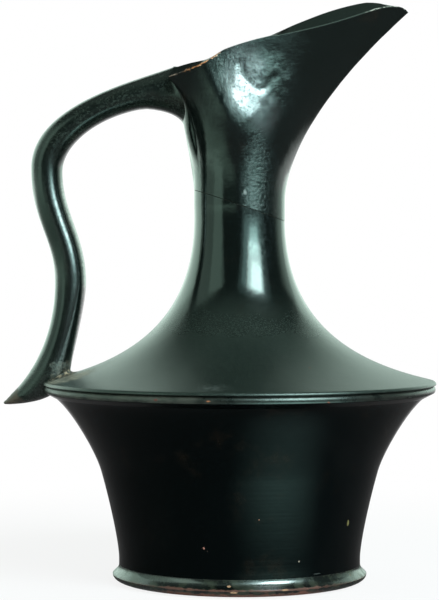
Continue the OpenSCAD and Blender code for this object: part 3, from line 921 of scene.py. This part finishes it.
bright = bright + 1 - ((p - (10.0, 0.0, 194.0)) * (0.15, 0.0, 0.11)).maths("LENGTH").step(0.5, 1.3)
bright = (bright * to_camera_side * beaten_grain.step(0.3, 0.55)).clip()
lime = spot_at(p, (2.1, -18.8, 160.8), (0.8, 2, 1.1), 0.9)
done(w, fired_gloss(w, p, 0.12, 0.9, BLACK_GREEN, [
    (beaten_side * 0.8, (0.003, 0.0048, 0.0048), 0.12),
    (beaten_side * beaten_grain.step(0.52, 0.66) * 0.7, (0.003, 0.004, 0.004), 0.26),
    (neck_scratch * 0.8, (0.006, 0.009, 0.010), 0.3),
    (specks(p, 8, 0.35, 0.10, 6), (0.20, 0.15, 0.1), 0.8),
    (lip_face * 0.5, (0.004, 0.006, 0.0045), 0.26),
    # painted highlight along the arris, and painted glints near the tip
    (arris * 0.7, (0.045, 0.058, 0.047), 0.35),
    (glints, (0.5, 0.5, 0.42), 0.4),
    (brown_edge * 0.85, (0.05, 0.022, 0.012), 0.5),
    (pale_edge * 0.8, (0.40, 0.27, 0.2), 0.6),
    (chipped, (0.42, 0.14, 0.035), 0.55),
    # painted highlights: cream glints in the chips
    (chipped * ragged.step(0.6, 0.68), CREAM, 0.25),
    (lime, (0.16, 0.18, 0.17), 0.6)],
    height=(brushed * 0.3 + beaten_grain * 0.12) * beaten_side + neck_scratch * 0.04, grain=0.6,
    coat=bright, coat_ior=1.9))
finish_piece(mouth, mouth_gloss, "black_gloss", "spout")

# %% [markdown]
# ## Handle
# The handle is a pulled strap. Its outer and inner sides are two curves, each in three or four
# parts. A curve object with a bevel could sweep a section along one line, but a pulled strap grows
# thinner and wider on the way, so both sides are drawn.

# %% Sides of the handle
HANDLE_T, HANDLE_W = 12.9, 16.6
CROOK, GRIP = np.array([-86.8, 171.0]), np.array([-76.9, 123.4])
TAIL = np.array([-RIM_R - 16.8, BEAD[1] - 5.6])
JOINT_TOP = BACK_H - 0.4
joint_foot = JOINT_TOP - 17
top_out = np.array([seat_x(JOINT_TOP), JOINT_TOP])
top_in = np.array([seat_x(joint_foot), joint_foot])
crook_in, grip_in = CROOK + [HANDLE_T, -1.5], GRIP + [HANDLE_T, 0]
root_in, tail_in = np.array([-RIM_R + 12, BEAD[1] + 11.5]), TAIL + polar(2, -53)
FINE = 5
outside = np.concatenate([
    curve([top_out, top_out - polar(23.6, 21.3), CROOK + [0, 23.9], CROOK], 12 * FINE)[:-1],
    curve([CROOK, CROOK - [0, 23], GRIP + [0, 19.1], GRIP], 8 * FINE)[:-1],
    curve([GRIP, GRIP - [0, 24.2], TAIL + polar(12.6, 36.6), TAIL], 14 * FINE)])
inside = np.concatenate([
    curve([top_in, top_in + polar(24, 176), crook_in + [0, 14.1], crook_in], 12 * FINE)[:-1],
    curve([crook_in, crook_in - [0, 16.9], grip_in + [0, 19.9], grip_in], 8 * FINE)[:-1],
    curve([grip_in, grip_in - [0, 8.2], root_in + polar(5.7, 78), root_in], 7 * FINE)[:-1],
    curve([root_in, root_in - polar(7.1, 80), [root_in[0] - 2, tail_in[1] + 1], tail_in], 7 * FINE)])
steps = np.arange(len(outside)) / FINE
RAISED, RAISED_AT, RAISED_OVER = 1.4, 5, 6
raised = RAISED * np.exp(-((steps - RAISED_AT) / RAISED_OVER) ** 2)
outside[:, 1] += raised
inside[:, 1] += raised * np.clip(steps / 3, 0, 1)
print("The upper handle is raised by", RAISED, "mm, as on the real jug")

# %% [markdown]
# A section is laid between each pair of places: round where the fingers go, and a little flatter
# on the side of the pot. The end of the tail is drawn in to a blunt tip, and the other end goes on
# into the wall of the mouth, a little lower than the lip, so that nothing of it shows inside.

# %% Rings of the handle
half_width = HANDLE_W / 2 * np.interp(steps, [0, 6, 12, 20, 26, 29, 32, 34],
                                      [1.14, 1.04, 1, 0.97, 1.04, 1.1, 0.9, 0.5])
turn_round = np.linspace(0, 2 * math.pi, 64, endpoint=False)
cosine, sine = np.cos(turn_round), np.sin(turn_round)
across = np.sign(cosine) * np.abs(cosine) ** np.where(cosine > 0, 1.0, 0.85)
sideways = np.sign(sine) * np.abs(sine) ** 0.95
mid = (outside + inside)[:, None] / 2
reach = (outside - inside)[:, None] / 2 * across[None, :, None]
flat = mid + reach
handle_rings = np.stack([flat[..., 0], half_width[:, None] * sideways[None], flat[..., 1]], 2)
centre = handle_rings.mean(1, keepdims=True)
blunt = np.interp(steps, [32.4, 33.2, 33.8, 34], [1, 0.93, 0.78, 0.5])[:, None, None]
handle_rings = centre + (handle_rings - centre) * blunt
INTO_WALL, END_X, END_DROP = 3.5, -21.0, 2.4
onwards = handle_rings[0] - handle_rings[1]
buried = handle_rings[0] + onwards / np.linalg.norm(onwards, axis=1).mean() * INTO_WALL
buried[:, 0] = np.minimum(buried[:, 0], END_X)
buried[:, 2] -= END_DROP
handle = stack("strap_handle", [buried, *handle_rings], join_ends=False)
print("The handle has", len(handle_rings) + 1, "rings")

# %% [markdown]
# The lower end of the handle meets the shoulder and the bead. A Boolean takes away what would lie
# inside the pot. Its cutter is a plain core a little smaller than the pot, so that the handle still
# reaches into the clay and no gap opens.

# %% Cut to the shoulder
def surface_height(radius):
    """Height of the shoulder's outside, or of the bead, at that distance from the axis."""
    bead = [BEAD + polar(BEAD_R, a) for a in range(74, -1, -6)]
    line = np.concatenate([sweep_out[:-1][::-1], np.array(bead)])
    return np.interp(radius, line[:, 0], line[:, 1])


core_outline = np.concatenate([[[0, 60]], [[70, 60], [SEAM[0] - 1.5, SEAM_H]],
                               [BEAD + polar(BEAD_R - 1.2, a) for a in range(-80, 75, 12)],
                               inset(sweep_out, 1.2)[4:100:6], [[0, 140]]])
core = stack("body_core", turned_rings(core_outline, 96))
cut = handle.modifiers.new("cut", "BOOLEAN")
cut.operation, cut.solver, cut.object = "DIFFERENCE", "EXACT", core
depsgraph = bpy.context.evaluated_depsgraph_get()
trimmed = bpy.data.meshes.new_from_object(handle.evaluated_get(depsgraph))
handle.modifiers.clear()
handle.data = trimmed
bpy.data.objects.remove(core)
handle.data.shade_smooth()
print("The trimmed handle has", len(trimmed.polygons), "faces")

# %% [markdown]
# Fingers have worn the handle: its gloss is mottled grey-green along the top, speckled lower down,
# and rubbed to brown clay at the tip of the tail. Along the inner flank a speckled coat mirrors
# the bright lamp as a stripe. The mask for that flank is the X part of the surface's direction.

# %% Finish of the handle
handle_gloss, w = new_material("handle_gloss")
p = place_mm(w)
x, y, z = (p.part(i) for i in range(3))
upper = z.step(168, 186)
mottled = p.noise(1.1, 5, 0.75).step(0.35, 0.8)
patchy = p.noise(7, 4, 0.6).step(0.3, 0.7)
tip_wear = spot_at(p, (-96, 0, 75.5), (9, 9, 5), 0.5)
root_dust = spot_at(p, (-71, -7, 87), (9, 9, 5), 0.6) * p.noise(1.4, 4, 0.7).step(0.4, 0.8)
tail = 1 - (z + p.noise(5, 3) * 8 - 4).step(84, 98)
inner_flank = w.node("ShaderNodeNewGeometry", out=1).part(0).step(-0.3, 0.0)
speckled = p.noise(0.8, 4, 0.8)
# Painted highlight: a light hook-shaped patch on the flank by the root.
painted_hook_highlight = spot_at(p, (-74.5, -7, 89.3), (4.5, 6, 2.0), 0.8) * p.noise(0.9, 4, 0.7).step(0.4, 0.6)
done(w, fired_gloss(w, p, 0.17, 0.85, BLACK_GREEN, [
    (upper * mottled * (patchy * 0.6 + 0.4), (0.026, 0.034, 0.025), 0.45),
    (mottled * (1 - upper) * 0.5, (0.008, 0.012, 0.010), 0.32),
    (tail * (mottled * 0.6 + 0.3), (0.016, 0.020, 0.015), 0.42),
    (specks(p, 2.2, 0.2, 0.25, 4) * (1 - upper * 0.5), (0.14, 0.17, 0.14), 0.5),
    (specks(p, 8, 0.45, 0.14, 9), (0.22, 0.15, 0.10), 0.8),
    (root_dust * 0.7, (0.16, 0.14, 0.10), 0.8),
    # painted shade: a thin near-black band across the inner flank, in place of a notch
    (spot_at(p, (-68.5, -7, 160.5), (4, 6, 0.5), 0.4), (0.002, 0.003, 0.0025), 0.6),
    (painted_hook_highlight * 0.5, (0.13, 0.15, 0.125), 0.45),
    (tip_wear * 0.8, (0.085, 0.048, 0.03), 0.6)], grain=0.45,
    height=speckled * 0.08,
    coat=(1 - z.step(160, 171)) * speckled.step(0.4, 0.56) * inner_flank, coat_ior=1.7))
finish_piece(handle, handle_gloss, "black_gloss", "handle")

# %% [markdown]
# ## Clay in the joints
# A pulled handle is luted on: the potter presses soft clay into the crease and wipes it hollow. So
# each joint gets a fillet, a band of hollow curves between a line on the handle and a line on the
# wall. A ray or the outline of the shoulder finds the place on the wall.

# %% Fillets
def fillet(name, highs, corners, lows, join_ends, n=9):
    """Hollow curves from the highs to the lows, drawn towards the corners of the crease."""
    highs, corners, lows = (np.array(v, float) for v in (highs, corners, lows))
    t = np.linspace(0, 1, n)[:, None]
    sections = []
    for a, c, b in zip(highs, corners, lows):
        bend = (1 - t) ** 2 * a + 2 * (1 - t) * t * (0.75 * c + 0.125 * (a + b)) + t ** 2 * b
        deep = c - (a + b) / 2
        size = np.linalg.norm(deep)
        deep = c + deep / max(size, 1e-6) * min(1.2, size)
        sections.append(np.concatenate([bend, [deep]]))
    return stack(name, sections, join_ends)


print("A fillet goes from the handle to the wall in 9 places")

# %% Clay under the top joint
mouth_tree = BVHTree.FromObject(mouth, bpy.context.evaluated_depsgraph_get())


def on_mouth(y, z):
    """The place on the back of the mouth's wall that is met from behind."""
    hit = mouth_tree.ray_cast(Vector((-0.08, y * MM, z * MM)), Vector((1, 0, 0)))[0]
    return None if hit is None else np.array(hit) / MM


TOP_FILLET, TOP_ALONG = 6.5, 7.0
middle = handle_rings[0].mean(0)
highs, corners, lows = [], [], []
for k in range(len(turn_round)):
    y, z = handle_rings[0][k][1:]
    away = np.array([y, z - middle[2]])
    away /= np.linalg.norm(away)
    size = TOP_FILLET * min(1, max(0.06, (209.5 - z) / 9))
    along = int(1 + 2 * FINE * size / TOP_FILLET * TOP_ALONG / 6)
    high = handle_rings[along][k]
    corner = on_mouth(y * 0.97, min(z, 211.5))
    low = on_mouth(y + away[0] * size * 0.45, min(z + away[1] * size, 211.5))
    if corner is None or low is None:
        corner = low = handle_rings[0][k]
    highs.append(high + [0.15, 0, 0])
    corners.append(corner)
    lows.append(low + [0.1, 0, 0])
top_clay = fillet("top_clay", highs, corners, lows, True)
finish_piece(top_clay, handle_gloss, "black_gloss", "handle_top_clay")

# %% [markdown]
# At the root the clay lies only on the inner side, where the fingers can't wipe it away. Each line
# along the handle is followed to the place where it goes into the shoulder, and the fillet starts
# a little above that place.

# %% Clay at the root
ROOT_FILLET = 5.0
highs, corners, lows = [], [], []
inner_side = [k for k in range(64) if 17 <= k <= 47]
for k in inner_side:
    line = handle_rings[:, k]
    radius = np.hypot(line[:, 0], line[:, 1])
    sunk = (line[:, 2] < surface_height(radius)) & (np.arange(len(line)) > 24 * FINE)
    below = np.nonzero(sunk)[0]
    if len(below) == 0:
        continue
    i = below[0]
    size = ROOT_FILLET * min(1, 0.15 + 1.1 * math.sin(math.pi * (k - 16) / 32))
    corner = line[i] * [1, 1, 0]
    corner[2] = surface_height(np.hypot(corner[0], corner[1]))
    away = np.array([line[i][0] + 76.0, line[i][1]])
    away /= np.linalg.norm(away)
    low = corner + [away[0] * size, away[1] * size, 0]
    low[2] = surface_height(np.hypot(low[0], low[1])) - 0.05
    highs.append(line[max(0, i - int(size / 1.2))])
    corners.append(corner)
    lows.append(low)
root_clay = fillet("root_clay", highs, corners, lows, False)
print("The clay at the root is", len(highs), "lines wide")

# %% [markdown]
# This clay was never brushed with gloss. It is dark with handling, with a dry cream crust in its
# hollows, and its bump is the strongest on the jug.

# %% Finish of the root clay
bare_clay, w = new_material("bare_clay")
p = place_mm(w)
crust = p.noise(1.1, 5, 0.7)
done(w, fired_gloss(w, p, 0.45, 0.6, (0.012, 0.014, 0.011), [
    (p.noise(2.6, 4, 0.65).step(0.42, 0.6), (0.07, 0.06, 0.042), 0.7),
    (crust.step(0.5, 0.64), (0.42, 0.34, 0.22), 0.85)], height=crust * 0.4, grain=0.8))
finish_piece(root_clay, bare_clay, "bare_clay", "handle_root_clay")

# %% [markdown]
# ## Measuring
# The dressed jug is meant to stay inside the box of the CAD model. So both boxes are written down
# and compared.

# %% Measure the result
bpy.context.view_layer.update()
grown = [round((a - b) / MM, 3) for s, c in zip(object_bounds(), cad_box) for a, b in zip(s, c)]
print("Scene less CAD, low and high corner:", grown, "mm")
